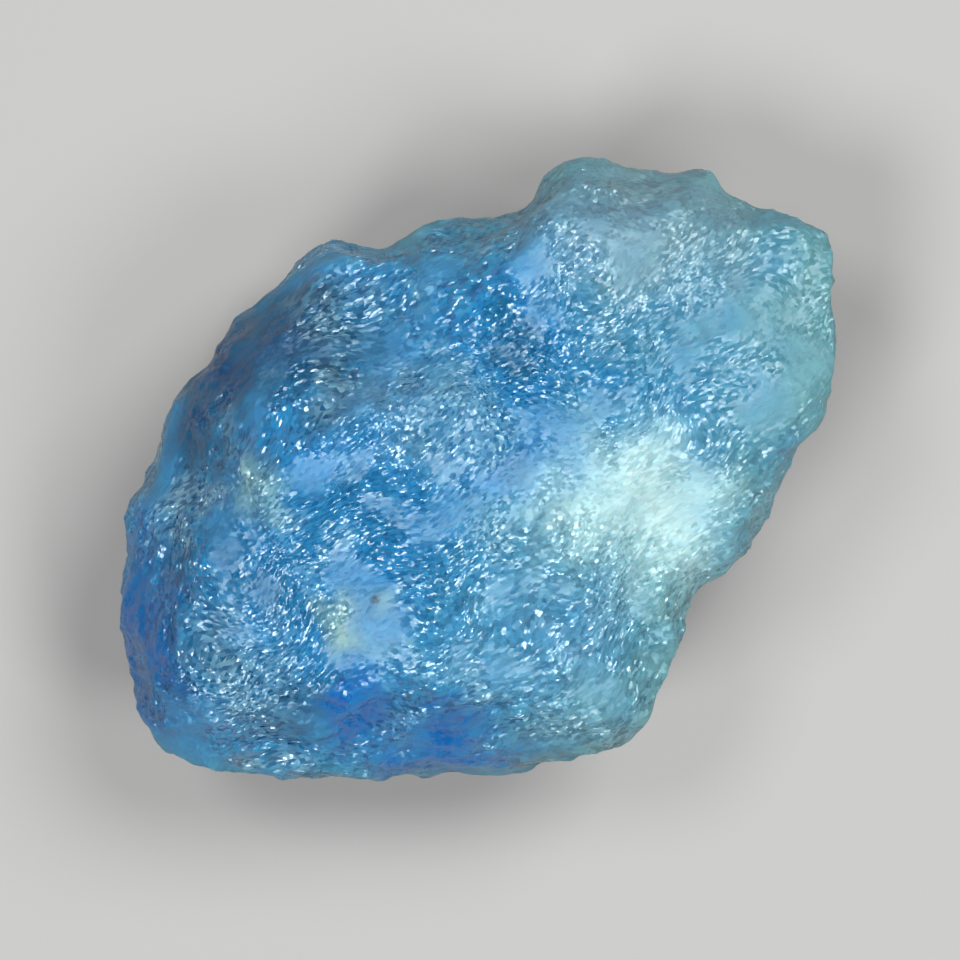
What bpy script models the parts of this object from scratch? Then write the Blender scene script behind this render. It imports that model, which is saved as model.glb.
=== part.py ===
"""A rough aquamarine crystal: one broken and etched lump of beryl, lying on its flattest fracture face.

The stone starts as a ball. Its outline, its thickness, its fracture faces, its scooped hollows and its
coarse relief are each a short function, so that every one of them can be changed by the named sizes below.
Plan coordinates X (right) and Y (up) are those of the stone seen from above in the photograph, and the
finished stone is turned so that its long direction lies on the part's X axis.
"""

import math

import bmesh
import bpy
import numpy as np
from mathutils import Matrix, Vector, noise

MM = 0.001

# Driving dimensions, in millimetres and degrees
CROWN_HEIGHT = 19.6
BELLY_DEPTH = 3.6
MIDDLE_HEIGHT = 9.0
RIM_HEIGHT = 9.0
RIM_TILT = 1.8
RIM_WANDER = 2.4
THIN_SIDE = 22.0
ROUND_EDGE = 0.85
THIN_EDGE = 1.7
FACE_SOFTNESS = 1.1
LONG_DIRECTION = 40.0

# The ball is a cube with this many squares along each side, blown out to a sphere
SQUARES = 28

# The outline seen from above, anticlockwise from the right-hand point
OUTLINE = (
    (17.4, 6.1), (17.4, 7.6), (17.0, 9.6), (16.9, 10.8), (16.2, 11.7), (14.9, 12.0), (13.7, 12.3),
    (12.8, 12.9), (11.8, 13.3), (11.3, 14.1), (10.4, 14.4), (9.4, 14.3), (8.4, 14.0), (7.3, 14.4),
    (6.1, 14.9), (5.1, 15.1), (4.1, 14.8), (3.3, 14.3), (3.0, 13.3), (1.8, 12.7), (0.3, 12.3),
    (-1.1, 12.4), (-2.4, 12.1), (-3.6, 11.3), (-5.4, 10.9), (-7.1, 10.8), (-8.9, 9.4), (-10.8, 8.0),
    (-11.9, 6.6), (-12.7, 5.0), (-13.8, 3.5), (-14.7, 2.1), (-15.2, 0.6), (-15.6, -0.7), (-16.8, -2.3),
    (-16.7, -4.2), (-17.2, -6.1), (-17.3, -8.2), (-17.0, -10.3), (-16.3, -12.2), (-15.2, -13.8),
    (-13.8, -14.9), (-12.0, -15.4), (-9.2, -15.2), (-6.8, -14.6), (-5.0, -14.9), (-3.4, -14.6),
    (-1.6, -14.4), (0.6, -14.6), (3.2, -14.4), (4.9, -14.0), (6.3, -13.4), (7.5, -12.5), (8.4, -11.2),
    (9.1, -9.8), (9.6, -8.3), (9.9, -6.7), (10.6, -5.4), (12.1, -4.2), (13.3, -2.8), (14.5, -1.0),
    (15.4, 0.9), (16.3, 2.5), (17.0, 4.2),
)

# Fracture faces: name, a point of the face, the direction it looks towards, and its lean from facing straight up
FACES = (
    ("broad front face", (-4.0, -3.0, 17.0), -122.0, 16.0),
    ("left shoulder", (-12.5, -1.5, 14.5), 172.0, 50.0),
    ("back slope", (-2.0, 4.6, 16.8), 118.0, 32.0),
    ("right-hand plateau", (5.0, 3.5, 15.8), 35.0, 17.0),
    ("lower right bevel", (6.0, -5.0, 14.6), -38.0, 30.0),
    ("foot of the front", (-3.0, -12.0, 13.2), -92.0, 48.0),
    ("lower left flank", (-14.3, -11.6, 12.6), -142.0, 58.0),
    ("crest bevel", (8.0, 13.0, 12.6), 80.0, 38.0),
    ("left wall", (-17.7, -6.0, 8.0), 184.0, 84.0),
    ("thin side underneath", (7.0, 2.6, 0.0), 22.0, 145.0),
    ("back undercut", (-3.5, 8.0, 0.0), 112.0, 122.0),
    ("left undercut", (-14.0, -4.5, 0.0), 184.0, 114.0),
    ("front undercut", (-3.0, -11.4, 0.0), -96.0, 118.0),
    ("lower right undercut", (4.8, -7.6, 0.0), -34.0, 134.0),
    ("upper right undercut", (6.0, 9.4, 0.0), 66.0, 132.0),
)

# Hollows scooped from the top (negative) and knobs left standing (positive): name, plan place, reach, height
RELIEF = (
    ("hollow below the crest", (3.6, 5.9), 3.6, -1.15),
    ("hollow, left half", (-3.4, 7.3), 3.0, -0.55),
    ("ridge, right end", (-0.6, 1.6), 3.0, 0.85),
    ("ridge, left end", (-8.4, 1.4), 3.4, 0.75),
    ("dimple in the front", (-4.0, -6.8), 2.8, -0.70),
    ("swelling of the front", (-9.6, -6.6), 4.2, 0.55),
    ("pale window", (8.2, -0.8), 3.4, -0.60),
    ("crest knob", (6.6, 11.0), 3.4, 0.70),
    ("crest saddle", (10.6, 9.0), 2.8, -0.45),
    ("right-hand swelling", (13.2, 4.6), 3.2, 0.50),
    ("lower right swelling", (4.4, -10.2), 3.4, 0.60),
    ("lower notch", (-5.4, -12.6), 1.8, -0.55),
)

# Lumps of the whole surface: distance between lumps and their height
LUMPS = ((7.5, 0.66), (3.6, 0.36), (1.9, 0.20))
LUMP_SEED = Vector((11.3, 4.7, 8.2))

COLOUR = (0.16, 0.40, 0.58, 1.0)
ROUGHNESS = 0.3
REFRACTIVE_INDEX = 1.57
SEE_THROUGH = 0.6


def clear_scene():
    for thing in list(bpy.data.objects):
        bpy.data.objects.remove(thing)


def ball():
    """A cube of squares blown out to a unit sphere, with a ring of points on its equator."""
    bm = bmesh.new()
    bmesh.ops.create_cube(bm, size=2.0)
    bmesh.ops.subdivide_edges(bm, edges=bm.edges[:], cuts=SQUARES - 1, use_grid_fill=True)
    for vert in bm.verts:
        spread = Vector([math.tan(value * math.pi / 4) for value in vert.co])
        vert.co = spread.normalized()
    return bm


def outline_reach(azimuth):
    """The distance from the middle to the outline in a direction, in millimetres."""
    points = np.array(OUTLINE)
    directions = np.arctan2(points[:, 1], points[:, 0])
    return np.interp(azimuth, directions, np.hypot(points[:, 0], points[:, 1]), period=2 * math.pi)


def thinness(azimuth):
    """1 on the thin right-hand side of the stone, and 0 on the thick side across from it."""
    return 0.5 + 0.5 * math.cos(azimuth - math.radians(THIN_SIDE))


def rim_height(azimuth):
    """The height of the stone's widest line: higher on the thin side, and wandering up and down."""
    wander = noise.noise(Vector((2 * math.cos(azimuth), 2 * math.sin(azimuth), 0.0)) + LUMP_SEED)
    return RIM_HEIGHT + RIM_TILT * (2 * thinness(azimuth) - 1) + RIM_WANDER * wander


def pillow(direction):
    """The point of the unbroken stone that lies in a direction from its middle."""
    azimuth = math.atan2(direction.y, direction.x)
    reach = outline_reach(azimuth) * math.hypot(direction.x, direction.y)
    rim = rim_height(azimuth)
    share = abs(direction.z) ** (ROUND_EDGE + (THIN_EDGE - ROUND_EDGE) * thinness(azimuth))
    limit = CROWN_HEIGHT if direction.z > 0 else -BELLY_DEPTH
    return Vector((reach * math.cos(azimuth), reach * math.sin(azimuth), rim + (limit - rim) * share))


def facing(heading, lean):
    """The unit vector that points out of a fracture face."""
    turn, tip = math.radians(heading), math.radians(lean)
    return Vector((math.sin(tip) * math.cos(turn), math.sin(tip) * math.sin(turn), math.cos(tip)))


def soft_lower(a, b):
    """The lower of two distances, with the corner between them rounded off."""
    share = min(max(0.5 + 0.5 * (b - a) / FACE_SOFTNESS, 0.0), 1.0)
    return b + (a - b) * share - FACE_SOFTNESS * share * (1 - share)


def broken_back(point):
    """Draws a point in towards the stone's middle until it lies behind every fracture face."""
    middle = Vector((0.0, 0.0, MIDDLE_HEIGHT))
    outward = (point - middle).normalized()
    distance = (point - middle).length
    for _, on_face, heading, lean in FACES:
        normal = facing(heading, lean)
        steepness = normal.dot(outward)
        if steepness > 0.05:
            distance = soft_lower(distance, normal.dot(Vector(on_face) - middle) / steepness)
    return middle + outward * distance


def relief_height(point):
    """How far the hollows and knobs of the top lift a plan point."""
    total = 0.0
    for _, (x, y), reach, height in RELIEF:
        away = math.hypot(point.x - x, point.y - y) / reach
        total += height * math.exp(-away * away)
    return total


def shape(bm):
    """Turns the ball into the broken stone, in millimetres."""
    for vert in bm.verts:
        upward = min(max(2.5 * vert.co.z, 0.0), 1.0)
        vert.co = broken_back(pillow(vert.co))
        vert.co.z += upward * relief_height(vert.co)


def add_lumps(bm):
    """Pushes every point in or out along its normal by lumps of several sizes."""
    bm.normal_update()
    pushes = []
    for vert in bm.verts:
        push = sum(height * noise.noise(vert.co / spacing + LUMP_SEED) for spacing, height in LUMPS)
        pushes.append(vert.normal * push)
    for vert, push in zip(bm.verts, pushes):
        vert.co += push


def cut_base(bm):
    """Cuts the belly off flat: the natural break that the stone lies on."""
    everything = bm.verts[:] + bm.edges[:] + bm.faces[:]
    cut = bmesh.ops.bisect_plane(
        bm, geom=everything, dist=0.01, plane_co=(0, 0, 0), plane_no=(0, 0, -1), clear_outer=True
    )
    rim = [item for item in cut["geom_cut"] if isinstance(item, bmesh.types.BMEdge)]
    for base in bmesh.ops.edgeloop_fill(bm, edges=rim)["faces"]:
        base.normal_update()
        if base.normal.z > 0:
            base.normal_flip()


def centre_on_base(bm):
    """Turns the long direction onto X and puts the middle of the stone's box over the origin."""
    bmesh.ops.rotate(bm, verts=bm.verts[:], matrix=Matrix.Rotation(math.radians(-LONG_DIRECTION), 3, "Z"))
    xs = [vert.co.x for vert in bm.verts]
    ys = [vert.co.y for vert in bm.verts]
    middle = Vector(((min(xs) + max(xs)) / 2, (min(ys) + max(ys)) / 2, 0.0))
    bmesh.ops.translate(bm, verts=bm.verts[:], vec=-middle)


def stone_material():
    material = bpy.data.materials.new("aquamarine")
    material.use_nodes = True
    shader = material.node_tree.nodes["Principled BSDF"]
    shader.inputs["Base Color"].default_value = COLOUR
    shader.inputs["Roughness"].default_value = ROUGHNESS
    shader.inputs["Metallic"].default_value = 0.0
    shader.inputs["IOR"].default_value = REFRACTIVE_INDEX
    shader.inputs["Transmission Weight"].default_value = SEE_THROUGH
    return material


def build_stone():
    bm = ball()
    shape(bm)
    add_lumps(bm)
    cut_base(bm)
    centre_on_base(bm)
    bmesh.ops.scale(bm, verts=bm.verts[:], vec=(MM, MM, MM))
    mesh = bpy.data.meshes.new("aquamarine_crystal")
    bm.to_mesh(mesh)
    bm.free()
    mesh.materials.append(stone_material())
    stone = bpy.data.objects.new("aquamarine_crystal", mesh)
    collection = bpy.data.collections.new("aquamarine_crystal")
    bpy.context.scene.collection.children.link(collection)
    collection.objects.link(stone)
    return stone


clear_scene()
build_stone()
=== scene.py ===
# %% [markdown]
# A rough aquamarine crystal
#
# Aquamarine is blue beryl. A stone like this one has no crystal faces left: it broke out of its vein, and
# water etched its breaks. So there are three things to model. The first is the lump with its fracture faces,
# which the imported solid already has. The second is the etched surface, thousands of tiny pits and ripples
# that glitter. The third is the blue body that shines through, deep where the stone is thick and clear, and
# pale where it is thin or cloudy. This lesson takes them in that order.

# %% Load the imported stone
import math

import bpy
import numpy as np
from mathutils import Matrix, Vector, noise
from mathutils.bvhtree import BVHTree


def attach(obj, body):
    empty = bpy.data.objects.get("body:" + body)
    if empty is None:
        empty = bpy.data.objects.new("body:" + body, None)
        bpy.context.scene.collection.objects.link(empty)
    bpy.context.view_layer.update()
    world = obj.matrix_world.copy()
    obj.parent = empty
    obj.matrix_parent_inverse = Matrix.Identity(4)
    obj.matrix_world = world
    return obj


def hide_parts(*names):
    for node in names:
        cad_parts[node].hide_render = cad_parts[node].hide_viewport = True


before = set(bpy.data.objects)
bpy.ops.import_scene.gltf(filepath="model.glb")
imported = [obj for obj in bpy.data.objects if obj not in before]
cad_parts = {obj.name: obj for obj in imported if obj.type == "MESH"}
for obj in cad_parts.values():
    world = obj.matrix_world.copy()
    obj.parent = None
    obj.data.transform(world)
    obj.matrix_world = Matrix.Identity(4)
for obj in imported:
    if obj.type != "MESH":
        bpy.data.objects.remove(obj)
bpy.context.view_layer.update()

MM = 0.001
NODE = "aquamarine_crystal"
# Without a seed Blender's vector noise starts from the clock, and every run would give another fine surface
NOISE_SEED = 3
noise.seed_set(NOISE_SEED)

# %% [markdown]
# The stone's own drawing directions
#
# The solid lies with its long direction on X. A stone is easier to describe the way it is looked at, from
# above, with right and up as on paper. Those two directions are the solid's X and Y turned by 40 degrees.
# Every place named below is given in millimetres in that view, so the same words serve for the camera, for
# the relief and for the colours.

# %% Turn solid coordinates into the view from above
VIEW_TURN = math.radians(40.0)
VIEW_MIDDLE = Vector((0.22, -0.49, 0.0))
TO_VIEW = Matrix.Rotation(VIEW_TURN, 3, "Z")


def to_view(points):
    """Where points of the solid, in metres, lie in the view from above, in millimetres."""
    return points @ np.array(TO_VIEW).T / MM + np.array(VIEW_MIDDLE)


print("the solid's origin in the view, mm:", to_view(np.zeros((1, 3)))[0].round(2))

# %% [markdown]
# An even, fine mesh
#
# The solid has facets about a millimetre wide, which is right for a machine part and too coarse for etched
# crystal. One way to refine it is to subdivide it again and again, but that leaves long triangles beside
# small ones, and the grain would come out uneven. A voxel remesh builds a new surface from equal squares
# instead. It is done on a copy, whose points are first welded together and whose facets are rounded off by
# two rounds of subdivision.

# %% Make the fine mesh
PITCH = 0.19 * MM
WELD_DISTANCE = 0.001 * MM


def fine_copy():
    """A new object with a fine, even copy of the solid's surface."""
    copy = bpy.data.objects.new("etched_aquamarine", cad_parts[NODE].data.copy())
    bpy.context.scene.collection.objects.link(copy)
    copy.modifiers.new("weld", "WELD").merge_threshold = WELD_DISTANCE
    copy.modifiers.new("round", "SUBSURF").levels = 2
    even = copy.modifiers.new("even", "REMESH")
    even.mode = "VOXEL"
    even.voxel_size = PITCH
    seen = copy.evaluated_get(bpy.context.evaluated_depsgraph_get())
    fine = bpy.data.meshes.new_from_object(seen)
    copy.modifiers.clear()
    copy.data = fine
    return copy


stone = fine_copy()
print("the surface has", len(stone.data.vertices), "points and", len(stone.data.polygons), "squares")

# %% [markdown]
# Reading the points
#
# The relief is worked out point by point in Python. A displacement modifier with a texture could do it too,
# but a function can use the place on the stone, so that one face gets ripples and another gets shells. The
# points and their normals come out as arrays.

# %% Read the points and their normals
def read_vectors(items, name):
    """One vector of every item as rows of an array."""
    values = np.empty(len(items) * 3, np.float32)
    items.foreach_get(name, values)
    return values.reshape(-1, 3).astype(float)


smooth_points = read_vectors(stone.data.vertices, "co")
smooth_normals = read_vectors(stone.data.vertex_normals, "vector")
print("the highest point is at", round(smooth_points[:, 2].max() / MM, 2), "mm")

# %% [markdown]
# How thick the stone is
#
# Colour in a clear stone is a matter of depth: light that has crossed more crystal comes out bluer. The
# absorption in the material does part of that. The frosted surface hides the rest, so the colour of the
# surface has to follow the depth as well. Two rays on the upright line through each point, one down and one
# up, measure how much stone stands there. The clearness further down starts from that.

# %% Measure how much stone stands at every point
FAR_AWAY = 1.0
SOFTENING_ROUNDS = 40


def thickness(mesh, points):
    """For each point, the length of the upright line that lies inside the stone, in millimetres."""
    tree = BVHTree.FromPolygons(points.tolist(), [face.vertices[:] for face in mesh.polygons])
    lengths = np.zeros(len(points))
    for index, (x, y, _) in enumerate(points):
        top = tree.ray_cast(Vector((x, y, FAR_AWAY)), Vector((0, 0, -1)))[0]
        foot = tree.ray_cast(Vector((x, y, -FAR_AWAY)), Vector((0, 0, 1)))[0]
        if top and foot:
            lengths[index] = (top.z - foot.z) / MM
    return lengths


def soften(mesh, values, rounds):
    """Evens a value out over the surface by averaging along the edges, several times."""
    ends = np.empty(len(mesh.edges) * 2, np.int32)
    mesh.edges.foreach_get("vertices", ends)
    first, second = ends.reshape(-1, 2).T
    neighbours = np.bincount(ends, minlength=len(values))
    for _ in range(rounds):
        total = np.bincount(first, values[second], len(values))
        total = total + np.bincount(second, values[first], len(values))
        values = 0.5 * values + 0.5 * total / neighbours
    return values


depth = soften(stone.data, thickness(stone.data, smooth_points), SOFTENING_ROUNDS)
print("thickness, mm: least", depth.min().round(1), "most", depth.max().round(1))

# %% [markdown]
# Broken and etched relief
#
# Beryl breaks like glass, in shallow scoops that meet in sharp creases. Voronoi cells give just that: the
# squared distance to the nearest cell centre is a dish, and two dishes meet in a crease. Four sizes of
# dish, each about half as wide as the last, make the hackly look. The cells are drawn out along one
# direction, because the etching followed the crystal's growth, and their grid is bent by noise.

# %% Describe the dishes
GRAIN_DIRECTION = math.radians(32.0)
ALONG = Vector((math.cos(GRAIN_DIRECTION), math.sin(GRAIN_DIRECTION), 0.0))
# Width of the dishes, height of the creases between them, and how far a cell is drawn out
DISHES = ((3.6, 0.36, 1.2), (1.7, 0.17, 1.4), (0.85, 0.10, 1.6), (0.46, 0.05, 1.6))
BEND = 1.1
BEND_SIZE = 4.5
DISH_LEVEL = 0.35


def dish_height(point, width, height, stretch):
    """The relief of one size of dish at a point: lowest in a dish's middle and highest on the creases."""
    drawn_in = ALONG * point.dot(ALONG) * (1 / stretch - 1)
    nearest = noise.voronoi((point + drawn_in) / width)[0][0]
    return height * (min(nearest, 1.0) ** 2 - DISH_LEVEL)


print("the dishes are", " and ".join(str(dish[0]) for dish in DISHES), "mm wide")

# %% [markdown]
# Shells
#
# Where a blow or a strain started a crack, the break runs out from there in rings, like the inside of a
# shell. A few such places are easy to see on this stone, because their rims catch the light as arcs.

# %% Describe the shells
# Where the crack began in the view from above, the way it ran in degrees, how far from its start the rings
# are clearest, how wide that band is, the distance between rings and their height
SHELLS = (
    ((-4.6, 1.8), 12, 5.0, 1.4, 0.75, 0.035),
    ((4.0, 4.5), 48, 5.4, 2.6, 1.05, 0.050),
    ((-6.5, -6.5), 215, 5.6, 3.0, 1.15, 0.050),
    ((6.8, 4.2), 25, 3.2, 1.3, 0.80, 0.045),
    ((1.0, -4.0), 300, 7.0, 2.6, 1.00, 0.045),
)


def shell_height(point):
    """The rings of every shell. A crack runs one way, so its rings fill a fan and not a whole circle."""
    total = 0.0
    for (x, y), way, middle, band, spacing, height in SHELLS:
        right, up = point.x - x, point.y - y
        away = math.hypot(right, up)
        facing = math.cos(math.atan2(up, right) - math.radians(way))
        if facing > 0:
            strength = facing**3 * math.exp(-(((away - middle) / band) ** 2))
            total += height * strength * math.cos(2 * math.pi * away / spacing)
    return total


print("there are", len(SHELLS), "shells, the highest rings", max(shell[-1] for shell in SHELLS), "mm")

# %% [markdown]
# Chips
#
# Three small pieces are missing from the crest, which gives its knobs steep sides.

# %% Describe the chips
# Middle in the view from above, reach and depth
CHIPS = (((1.6, 13.6), 1.3, 0.50), ((9.6, 15.0), 1.2, 0.05), ((12.9, 13.6), 1.1, 0.12))


def chip_depth(point):
    """How deep the chips are at a point."""
    total = 0.0
    for (x, y), reach, depth_there in CHIPS:
        away = math.hypot(point.x - x, point.y - y) / reach
        total += depth_there * math.exp(-away * away)
    return total


print("the deepest chip is", max(chip[-1] for chip in CHIPS), "mm deep")

# %% [markdown]
# Pushing the points
#
# Each point moves along its own normal by the dishes and shells at its place, less the chips. Edges chip more
# than faces do, so the push is stronger where the surface stands upright, which is the outline of the stone
# from above. It fades out within a millimetre of the floor, so that the break the stone lies on stays flat.

# %% Carve the relief
FLAT_BASE = 1.2 * MM
EDGE_CHIPPING = 1.2

places = to_view(smooth_points)


def relief(place):
    """How far the etched surface stands proud of the smooth one at a place in the view."""
    bent = place + BEND * noise.noise_vector(place / BEND_SIZE)
    return sum(dish_height(bent, *dish) for dish in DISHES) + shell_height(bent) - chip_depth(place)


def carve(mesh, points, normals):
    """Pushes every point along its normal by the relief."""
    pushes = np.array([relief(Vector(place)) for place in places])
    pushes *= 1 + EDGE_CHIPPING * (1 - np.abs(normals[:, 2]))
    fade = np.clip(points[:, 2] / FLAT_BASE, 0.0, 1.0)
    carved = points + normals * (pushes * fade * MM)[:, None]
    carved[:, 2] = np.maximum(carved[:, 2], 0.0)
    mesh.vertices.foreach_set("co", carved.astype(np.float32).ravel())
    mesh.update()
    return pushes


pushes = carve(stone.data, smooth_points, smooth_normals)
stone.data.shade_smooth()
print("relief from", pushes.min().round(2), "to", pushes.max().round(2), "mm")

# %% [markdown]
# Masks on the mesh
#
# The material needs to know where the stone is clear, cloudy, stained or smooth. Such masks change slowly,
# over millimetres, so a value on every point of this fine mesh holds them well. Shader noise could make them
# too, but it would be worked out anew for every ray, and here it is done once. A spot is a soft oval around
# a named place. Its edge is frayed by noise, so that it reads as a cloud in the crystal and not as paint.

# %% Helpers for the masks
FRAY_SIZE = 3.0
FRAY = 1.7


def clouds(where, size, shift=0.0):
    """Noise around 0 in lumps of the given size in millimetres, at every point."""
    offset = Vector((shift, shift, shift))
    return np.array([noise.fractal(Vector(point) / size + offset, 1.0, 2.0, 4) for point in where])


def cloud_vectors(where, size, octaves):
    """Three noises around 0 at every point, as a vector."""
    return np.array([noise.turbulence_vector(Vector(point) / size, octaves, False) for point in where])


def rise(values, low, high):
    """A smooth rise from 0 at low to 1 at high. With low above high it falls."""
    share = np.clip((values - low) / (high - low), 0.0, 1.0)
    return share * share * (3 - 2 * share)


frayed = places + cloud_vectors(places, FRAY_SIZE, 3) * FRAY


def spot(middle, reach):
    """A soft oval mask: 1 in its middle and 0 from its reach outwards, both in millimetres of the view."""
    away = (frayed[:, :2] - np.array(middle)) / np.array(reach)
    return rise(np.hypot(away[:, 0], away[:, 1]), 1.0, 0.0)


def added_up(fields):
    """The spots of several fields, each times its own weight, in one sum."""
    return sum(weight * spot(middle, reach) for middle, reach, weight in fields)


def strongest(*masks):
    """At each point the highest of several masks."""
    return np.max(masks, axis=0)


print("the edges of the spots wander by up to", np.abs(frayed - places).max().round(1), "mm")

# %% [markdown]
# How clear the crystal is, and where shade is painted
#
# Clearness drives the blue: thick and clear crystal is deep, thin or cloudy crystal is pale. The thickness
# gives a part of it. The rest is partly the stone's own and partly painted shade: the left side with its rim,
# the back slope behind the ridge and the hollow are made deeper blue as shade, and a few other fields are
# clearer or cloudier than their surroundings. Noise breaks all that up, because no crystal is even.

# %% Work out the clearness and the painted shade
CLEAR_THICKNESS = 18.0
LEFT_END, RIGHT_END = -17.0, 17.0
FROM_THICKNESS, FROM_SIDE, FROM_NOISE, FROM_RIM = 0.28, 0.36, 0.16, 0.42
UNEVEN_SIZE = 4.6
# Two long fields on the left rim, made deeper blue as painted shade, each with its middle and reach
LEFT_FLANK = ((-16.6, -8.0), (3.4, 10.0))
LEFT_SHOULDER = ((-13.2, 4.4), (3.8, 6.5))
# Fields with another clearness, the first two being painted shade on the back slope and in the hollow:
# middle, reach, and how much clearer
CLEARER_AND_SHADED = (
    ((-9.0, 6.6), (7.6, 5.6), 0.40),
    ((1.8, 6.0), (5.6, 3.2), 0.22),
    ((-11.0, -10.0), (8.0, 6.0), 0.12),
    ((1.0, -4.6), (6.0, 4.4), -0.14),
    ((2.2, 0.4), (4.2, 3.6), 0.22),
)

rim_left = strongest(spot(*LEFT_FLANK), spot(*LEFT_SHOULDER))
clearness_and_painted_shade = FROM_THICKNESS * rise(depth, 0.0, CLEAR_THICKNESS)
# The side and rim shares are partly painted shade, which deepens the blue on the left
clearness_and_painted_shade += FROM_SIDE * rise(places[:, 0], RIGHT_END, LEFT_END)
clearness_and_painted_shade += FROM_NOISE * clouds(places, UNEVEN_SIZE) + FROM_RIM * rim_left + added_up(CLEARER_AND_SHADED)
print("clearness from", clearness_and_painted_shade.min().round(2), "to", clearness_and_painted_shade.max().round(2))

# %% [markdown]
# How the skin was etched
#
# The etching didn't reach every place alike. Where it bit, the skin is rough and glitters, and in a few
# fields the glitter is so dense that it looks silvery; there some facets are given a paler colour as painted
# glints. Other fields stayed calm and look fogged. The left rim and the two windows are different again:
# there the skin is nearly as smooth as glass.

# %% Work out the etching
# Fields that stayed calm: middle, reach, and how calm
CALM = (
    ((2.2, 0.4), (4.0, 3.4), 1.2),
    ((-9.5, 8.0), (7.0, 3.5), 0.5),
    ((8.2, -1.4), (5.0, 4.4), 0.7),
)
# Fields where the etching and its glitter are densest, which also get painted glints: middle and reach
DENSE_ETCHING_AND_GLINTS = (
    ((-11.4, -9.8), (4.8, 4.4)),
    ((-6.3, 6.6), (2.8, 1.9)),
    ((10.8, 8.6), (2.6, 2.0)),
    ((5.4, -12.8), (5.0, 2.0)),
    ((-0.6, 2.2), (3.2, 2.6)),
)
WINDOWS = (((-5.6, -11.4), (2.0, 3.2)), ((-1.4, -13.2), (5.0, 2.6)))
ALMOST_ALL = 0.95
# Size of the fields that noise gives, and a shift that makes each noise another one
ETCHED_FIELDS = (3.2, 5.0)
PAINTED_GLINT_FIELDS = (2.6, 9.0)

window = strongest(*[spot(*place) for place in WINDOWS])
calm = np.clip(added_up(CALM), 0.0, ALMOST_ALL)
glassy = np.clip(0.7 * rim_left + window, 0.0, ALMOST_ALL)
dense_etching_and_glints = strongest(*[spot(*place) for place in DENSE_ETCHING_AND_GLINTS])
etched = rise(clouds(places, *ETCHED_FIELDS), -0.45, 0.20) * (1 - calm) * (1 - glassy)
etched = strongest(etched, dense_etching_and_glints)
# Painted glints: a paler colour on some facets where the glitter is dense, standing in for mirrored light
painted_glints = rise(clouds(places, *PAINTED_GLINT_FIELDS), -0.1, 0.55) * rise(places[:, 0], 12.0, -2.0) * etched
painted_glints = strongest(painted_glints, 0.7 * dense_etching_and_glints)
print("mean etching", etched.mean().round(2), "and mean silver", painted_glints.mean().round(2))

# %% [markdown]
# The odd places
#
# A pale cloud glows near the thin side, with a brighter heart. The crest and the ridge are paler than the
# rest, two faint stains lie on the front, and beside one of them sits a dark speck. The whole upper right is
# frosted. With these the list of masks is complete, and all of them are kept on the mesh.

# %% Keep the masks on the mesh
SPECK_PLACE = (-4.7, -6.05)
# How much each way counts towards the upper right, and where the frost begins and where it is whole
FROST_WAY = (0.8, 0.6)
FROST_BEGINS, FROST_WHOLE = 3.0, 16.0

MASKS = {
    "clearness_and_painted_shade": clearness_and_painted_shade,
    "cloud": strongest(spot((7.6, -2.2), (7.4, 6.6)), 0.18 * spot((4.0, -8.0), (7.5, 7.0))),
    "heart": spot((8.0, -1.5), (5.4, 4.4)),
    # The windows' deep blue is laid on the left flank too, as painted shade
    "window": strongest(window, 0.8 * spot(*LEFT_FLANK)),
    "speck": rise(np.hypot(*(places[:, :2] - SPECK_PLACE).T), 0.28, 0.10),
    "stain": 0.7 * spot((-10.1, -1.2), (2.8, 1.8)) + spot((-5.5, -7.2), (2.2, 2.0)),
    "frost": rise(places[:, :2] @ FROST_WAY, FROST_BEGINS, FROST_WHOLE),
    "crest": spot((7.4, 11.8), (9.5, 6.0)),
    "ridge": strongest(spot((-4.0, 3.2), (5.4, 2.8)), spot((-2.4, 0.8), (3.8, 2.8))),
    "painted_glints": painted_glints,
    "glassy": glassy,
    "etched": etched,
}


def keep(mesh, name, values, kind="FLOAT", field="value"):
    """Stores values on the points of the mesh under a name."""
    mesh.attributes.new(name, kind, "POINT").data.foreach_set(field, values.astype(np.float32).ravel())


for name, values in MASKS.items():
    keep(stone.data, name, values)
    print(f"{name}: {values.min():.2f} to {values.max():.2f}, mean {values.mean():.2f}")

# %% [markdown]
# Sums with shader nodes
#
# A material of this kind is mostly arithmetic on masks. Wiring each sum by hand hides the idea, so one small
# class wraps a node's output and lets Python's own operators add the nodes. A sum on values adds Math nodes,
# and one on colours or vectors adds Vector Math nodes, because a Math node would turn a colour grey.

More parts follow.
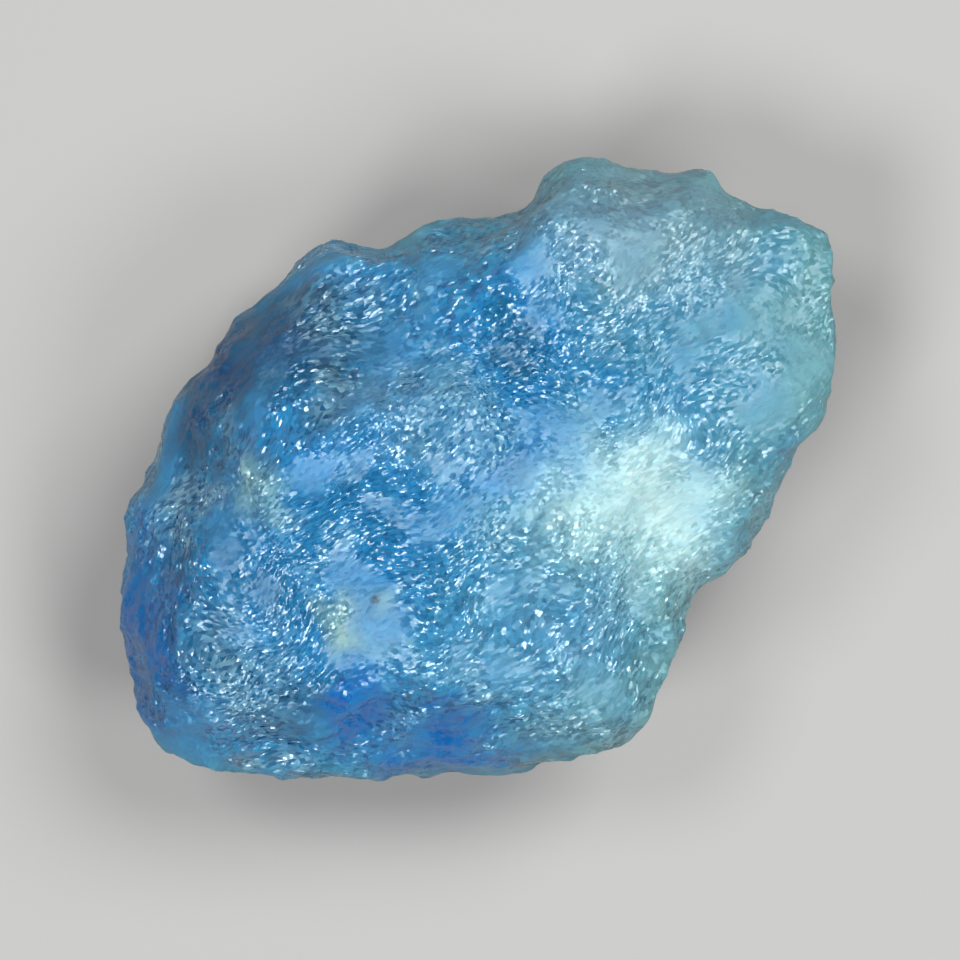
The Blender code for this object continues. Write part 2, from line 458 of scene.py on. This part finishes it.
# %% A socket that can be reckoned with
class Wire:
    """An output of a node. Arithmetic on it adds the node that does the sum and gives that node's output."""

    def __init__(self, output):
        self.output = output
        self.tree = output.id_data

    @staticmethod
    def add(tree, kind, settings=None, sockets=None, output=0):
        """Adds any node: its type, its settings, then the values or wires of its sockets."""
        node = tree.nodes.new(kind)
        for name, value in (settings or {}).items():
            setattr(node, name, value)
        for name, value in (sockets or {}).items():
            if isinstance(value, Wire):
                tree.links.new(value.output, node.inputs[name])
            else:
                node.inputs[name].default_value = value
        return Wire(node.outputs[output]) if node.outputs else None

    def wide(self):
        return self.output.type in ("VECTOR", "RGBA")

    def sum_of(self, operation, *terms):
        kind = "ShaderNodeMath"
        if any(isinstance(term, (tuple, Vector)) or isinstance(term, Wire) and term.wide() for term in terms):
            kind = "ShaderNodeVectorMath"
            terms = [(term,) * 3 if isinstance(term, (int, float)) else term for term in terms]
        return Wire.add(self.tree, kind, {"operation": operation}, dict(enumerate(terms)))

    def __add__(self, other):
        return self.sum_of("ADD", self, other)

    __radd__ = __add__

    def __sub__(self, other):
        return self.sum_of("SUBTRACT", self, other)

    def __rsub__(self, other):
        return self.sum_of("SUBTRACT", other, self)

    def __mul__(self, other):
        return self.sum_of("MULTIPLY", self, other)

    __rmul__ = __mul__

    def normalized(self):
        """A vector of the same direction and of length 1."""
        return self.sum_of("NORMALIZE", self)

    def mix(self, without, whole):
        """Where this mask is 0 the first colour, and where it is 1 the second."""
        return Wire.add(self.tree, "ShaderNodeMix", {"data_type": "RGBA"}, {0: self, 6: without, 7: whole}, 2)

    def ramp(self, stops):
        """Turns this value into a colour, by stops that are each a place between 0 and 1 and a colour."""
        ramp = Wire.add(self.tree, "ShaderNodeValToRGB", {}, {"Fac": self}, "Color")
        elements = ramp.output.node.color_ramp.elements
        while len(elements) < len(stops):
            elements.new(1.0)
        for element, (place, shade) in zip(elements, stops):
            element.position = place
            element.color = shade
        return ramp


def colour(red, green, blue):
    """A colour from the usual scale of 0 to 255, in the linear numbers that shaders use."""
    shares = [value / 255 for value in (red, green, blue)]
    return (*[s / 12.92 if s < 0.04045 else ((s + 0.055) / 1.055) ** 2.4 for s in shares], 1.0)


print("a mid aquamarine blue in linear numbers:", [round(v, 3) for v in colour(88, 168, 210)])

# %% [markdown]
# An empty material
#
# The material starts with no nodes at all. A mask comes in through an Attribute node with its name.

# %% Start the material
material = bpy.data.materials.new("etched_aquamarine")
material.use_nodes = True
tree = material.node_tree
tree.nodes.clear()


def kept(name, output="Fac"):
    """What the mesh holds under a name."""
    return Wire.add(tree, "ShaderNodeAttribute", {"attribute_name": name}, {}, output)


print("reading the masks from the mesh:", ", ".join(MASKS))

# %% [markdown]
# The glitter
#
# Under a lens the etched surface is a field of tiny facets and ripples, less than half a millimetre apart.
# Each one mirrors the window as a short bright dash, and all together they glitter. They are too small for
# the mesh, so they only bend the shader's normal. Voronoi cells are the facets: each cell's random colour is
# the way it leans. Noise makes the ripples. Both are drawn out along the grain, and their coordinates are
# the places in the view, bent by slow noise so that the dashes run in swaths and arcs.

# %% Lay the swaths on the mesh
SWATH_SIZE = 5.5
SWATH_BEND = 1.0
GRAIN_STRETCH = 1.9

swaths = places + cloud_vectors(places, SWATH_SIZE, 2) * SWATH_BEND
keep(stone.data, "swaths", swaths, "FLOAT_VECTOR", "vector")
grain = Wire.add(
    tree,
    "ShaderNodeMapping",
    {"vector_type": "TEXTURE"},
    {
        "Vector": kept("swaths", "Vector"),
        "Rotation": (0, 0, GRAIN_DIRECTION),
        "Scale": (GRAIN_STRETCH, 1.0, 1.0),
    },
)
print("the swaths wander by up to", np.abs(swaths - places).max().round(1), "mm")

# %% Tilt the facets and add the ripples
FACET_SIZE = 0.145
FACET_TILT = 1.35
RIPPLE_SPACING = 0.30
RIPPLE_HEIGHT = 0.12
# How strong the glitter is where the stone is calm, and how much of it the frost takes away
LEAST_GLITTER = 0.32
LOST_TO_FROST = 0.35

strength = kept("etched") * (1 - LEAST_GLITTER) + LEAST_GLITTER
strength = strength * (1 - LOST_TO_FROST * kept("frost"))
cells = Wire.add(tree, "ShaderNodeTexVoronoi", {}, {"Vector": grain, "Scale": 1 / FACET_SIZE}, "Color")
facet_shade = Wire.add(tree, "ShaderNodeSeparateXYZ", {}, {"Vector": cells}, "Z")
facet_normal = Wire.add(tree, "ShaderNodeNewGeometry", {}, {}, "Normal")
facet_normal = (facet_normal + (cells - (0.5, 0.5, 0.5)) * (strength * FACET_TILT)).normalized()
rippling = {"Vector": grain, "Scale": 1 / RIPPLE_SPACING, "Detail": 1.0}
ripples = (Wire.add(tree, "ShaderNodeTexNoise", {}, rippling, "Fac") - 0.5) * RIPPLE_HEIGHT * strength
surface_normal = Wire.add(
    tree,
    "ShaderNodeBump",
    {},
    {"Strength": 1.0, "Distance": MM, "Height": ripples, "Normal": facet_normal},
)
print("facets", FACET_SIZE, "mm wide and ripples", RIPPLE_SPACING, "mm apart")

# %% [markdown]
# The colour of the body
#
# One ramp holds the whole range of the stone, from pale grey-green to deep blue, and the clearness, painted
# shade included, picks the place on it. The other masks lay their colours over that, among them painted
# glints and the painted shade on the left flank. The frosted skin gives back only a part of the light that
# falls on it, because the rest goes into the crystal, so the seen colours are scaled down. Each facet is a
# little lighter or darker than the next.

# %% Mix the body colour
DEPTH_STOPS = (
    (0.00, colour(128, 190, 198)),
    (0.28, colour(84, 176, 218)),
    (0.52, colour(54, 168, 230)),
    (0.76, colour(16, 121, 168)),
    (1.00, colour(0, 92, 148)),
)
PALE_SKIN = colour(166, 198, 206)
# Each mask, how much of its colour it lays on at most, and the colour
LAYERS = (
    ("cloud", 1.0, colour(202, 252, 255)),
    ("heart", 0.7, colour(232, 255, 252)),
    ("crest", 0.7, PALE_SKIN),
    ("ridge", 0.35, PALE_SKIN),
    # Painted glints, a pale colour standing in for light mirrored by dense facets
    ("painted_glints", 0.85, colour(180, 224, 240)),
    ("stain", 0.6, colour(200, 232, 200)),
    # The deep blue of the windows, which on the left flank is painted shade
    ("window", 1.0, colour(0, 132, 222)),
    ("speck", 1.0, colour(24, 62, 88)),
)
GIVEN_BACK = 0.64
HEART_GLOW = 0.10
FACET_CONTRAST = 0.38

body = kept("clearness_and_painted_shade").ramp(DEPTH_STOPS)
for name, share, shade in LAYERS:
    # The painted glints lie on some facets and not on others, which keeps them from looking like a flat coat
    # of paint
    mask = kept(name) * facet_shade if name == "painted_glints" else kept(name)
    body = (mask * share).mix(body, shade)
contrast = FACET_CONTRAST * (1 - 0.6 * kept("frost")) * (kept("etched") * 0.6 + 0.4)
body = body * (GIVEN_BACK + kept("heart") * HEART_GLOW) * (1 + (facet_shade - 0.5) * contrast)
print(len(DEPTH_STOPS), "stops of blue, and", len(LAYERS), "colours over them")

# %% [markdown]
# Fog and polish
#
# Roughness carries the difference between a mirror and a fogged pane. On etched and on glassy skin every
# facet is a small mirror. The calm fields between them are fogged, and so is the frosted thin side, where the
# glints are dim and soft.

# %% Set the roughness
MIRROR = 0.15
FOGGED = 0.45
FROSTED = 0.18

roughness = (1 - kept("etched")) * (1 - kept("glassy")) * FOGGED + kept("frost") * FROSTED + MIRROR
print("roughness from", MIRROR, "to", MIRROR + FOGGED + FROSTED)

# %% [markdown]
# Beryl as a shader
#
# Beryl is see-through and bends light by 1.57. More than half of this stone's body lets light pass, and the
# clouds in the rest scatter it. The absorption inside takes red first, which is what makes aquamarine blue.

# %% Put the shader together
BERYL_IOR = 1.57
SEE_THROUGH = 0.55
SCATTER_REACH = 3.0 * MM
ABSORBED_COLOUR = (0.25, 0.82, 0.93, 1.0)
ABSORPTION = 190.0

shader = Wire.add(
    tree,
    "ShaderNodeBsdfPrincipled",
    {},
    {
        "Base Color": body,
        "Roughness": roughness,
        "IOR": BERYL_IOR,
        "Transmission Weight": SEE_THROUGH,
        "Subsurface Weight": 1.0,
        "Subsurface Radius": (0.5, 0.8, 1.0),
        "Subsurface Scale": SCATTER_REACH,
        "Normal": surface_normal,
    },
)
inside = Wire.add(tree, "ShaderNodeVolumeAbsorption", {}, {"Color": ABSORBED_COLOUR, "Density": ABSORPTION})
Wire.add(tree, "ShaderNodeOutputMaterial", {}, {"Surface": shader, "Volume": inside})
stone.data.materials.clear()
stone.data.materials.append(material)
print("the material has", len(tree.nodes), "nodes")

# %% [markdown]
# Standing for the solid
#
# The new surface rides on the solid's only body, and the plain solid is hidden behind it.

# %% Tie the surface to the solid
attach(stone, "root")
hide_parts(NODE)
print(stone.name, "stands for", NODE)

# %% [markdown]
# The floor
#
# A plain pale floor. The lamps are slightly cyan, because the glints of the stone are, so the paint is
# slightly warm and the floor comes out grey.

# %% Build the floor
FLOOR_PAINT = colour(132, 124, 121)


def pale_floor():
    bpy.ops.mesh.primitive_plane_add(size=2.0)
    floor = bpy.context.object
    floor.name = "floor"
    paint = bpy.data.materials.new("pale_floor")
    paint.use_nodes = True
    surface = paint.node_tree.nodes["Principled BSDF"]
    surface.inputs["Base Color"].default_value = FLOOR_PAINT
    surface.inputs["Roughness"].default_value = 0.8
    floor.data.materials.append(paint)


pale_floor()

# %% [markdown]
# The light
#
# The soft boxes of a small studio. Etched crystal shows its glitter only if something bright is there to be
# mirrored and the rest is darker. So the light comes from a few boxes around the lens, and only a little of
# it from the room.

# %% Hang the lamps
# Name, direction from the stone in the view, distance, width and power, in metres and watts
LAMPS = (
    ("upper_right_box", (0.50, 0.42, 1.0), 0.6, 0.30, 4.4),
    ("lower_left_box", (-0.42, -0.45, 1.0), 0.6, 0.22, 3.6),
    ("right_box", (0.62, -0.42, 1.0), 0.6, 0.22, 2.4),
    ("left_box", (-0.42, 0.30, 1.0), 0.6, 0.20, 2.0),
)
LAMP_COLOUR = (0.86, 0.97, 1.0)
STONE_MIDDLE = Vector((0, 0, 9 * MM))


def hang_lamp(name, side, distance, width, power):
    """A round soft box that looks at the stone."""
    lamp = bpy.data.objects.new(name, bpy.data.lights.new(name, "AREA"))
    lamp.data.shape = "DISK"
    lamp.data.size = width
    lamp.data.energy = power
    lamp.data.color = LAMP_COLOUR
    away = TO_VIEW.inverted() @ Vector(side).normalized()
    lamp.location = STONE_MIDDLE + away * distance
    lamp.rotation_euler = away.to_track_quat("Z", "Y").to_euler()
    bpy.context.scene.collection.objects.link(lamp)


for lamp in LAMPS:
    hang_lamp(*lamp)

print("lamps:", ", ".join(lamp[0] for lamp in LAMPS))

# %% Light the room
ROOM_COLOUR = (0.82, 0.95, 1.0, 1.0)
ROOM_LIGHT = 0.12

world = bpy.data.worlds.new("studio")
bpy.context.scene.world = world
world.use_nodes = True
room = world.node_tree.nodes["Background"]
room.inputs["Color"].default_value = ROOM_COLOUR
room.inputs["Strength"].default_value = ROOM_LIGHT
print("the room's own light is", ROOM_LIGHT)

# %% [markdown]
# Sparing the renderer
#
# The crystal soaks up light so fast that bounces after the fourth change almost nothing, and they are left
# out. Caustics are left out too, which is a simplification: light focused by the crystal would change the
# stone's blue by about four steps of 255 on average, for a sixth more time. A light tree pays off with many
# lamps, and here are four. The plain view transform shows the colours as they were mixed.

# %% Choose how light is followed
LONGEST_PATH = 4

paths = bpy.context.scene.cycles
paths.caustics_reflective = False
paths.caustics_refractive = False
paths.max_bounces = LONGEST_PATH
paths.use_light_tree = False
bpy.context.scene.view_settings.view_transform = "Standard"
print("light is followed for", LONGEST_PATH, "bounces")

# %% [markdown]
# The camera
#
# The stone is looked at from straight above. The camera is turned with the view, so that the picture's right
# and up are the view's own. A long lens from 30 cm away keeps the high middle from swelling.

# %% Set the camera
CAMERA_HEIGHT = 0.30
FRAME_WIDTH = 46.0 * MM
SENSOR_WIDTH = 36.0

camera = bpy.data.objects.new("camera", bpy.data.cameras.new("camera"))
camera.data.sensor_width = SENSOR_WIDTH
camera.data.lens = SENSOR_WIDTH * (CAMERA_HEIGHT - STONE_MIDDLE.z) / FRAME_WIDTH
camera.location = (0, 0, CAMERA_HEIGHT)
camera.rotation_euler = (0, 0, -VIEW_TURN)
bpy.context.scene.collection.objects.link(camera)
bpy.context.scene.camera = camera
print("the lens is", round(camera.data.lens), "mm")
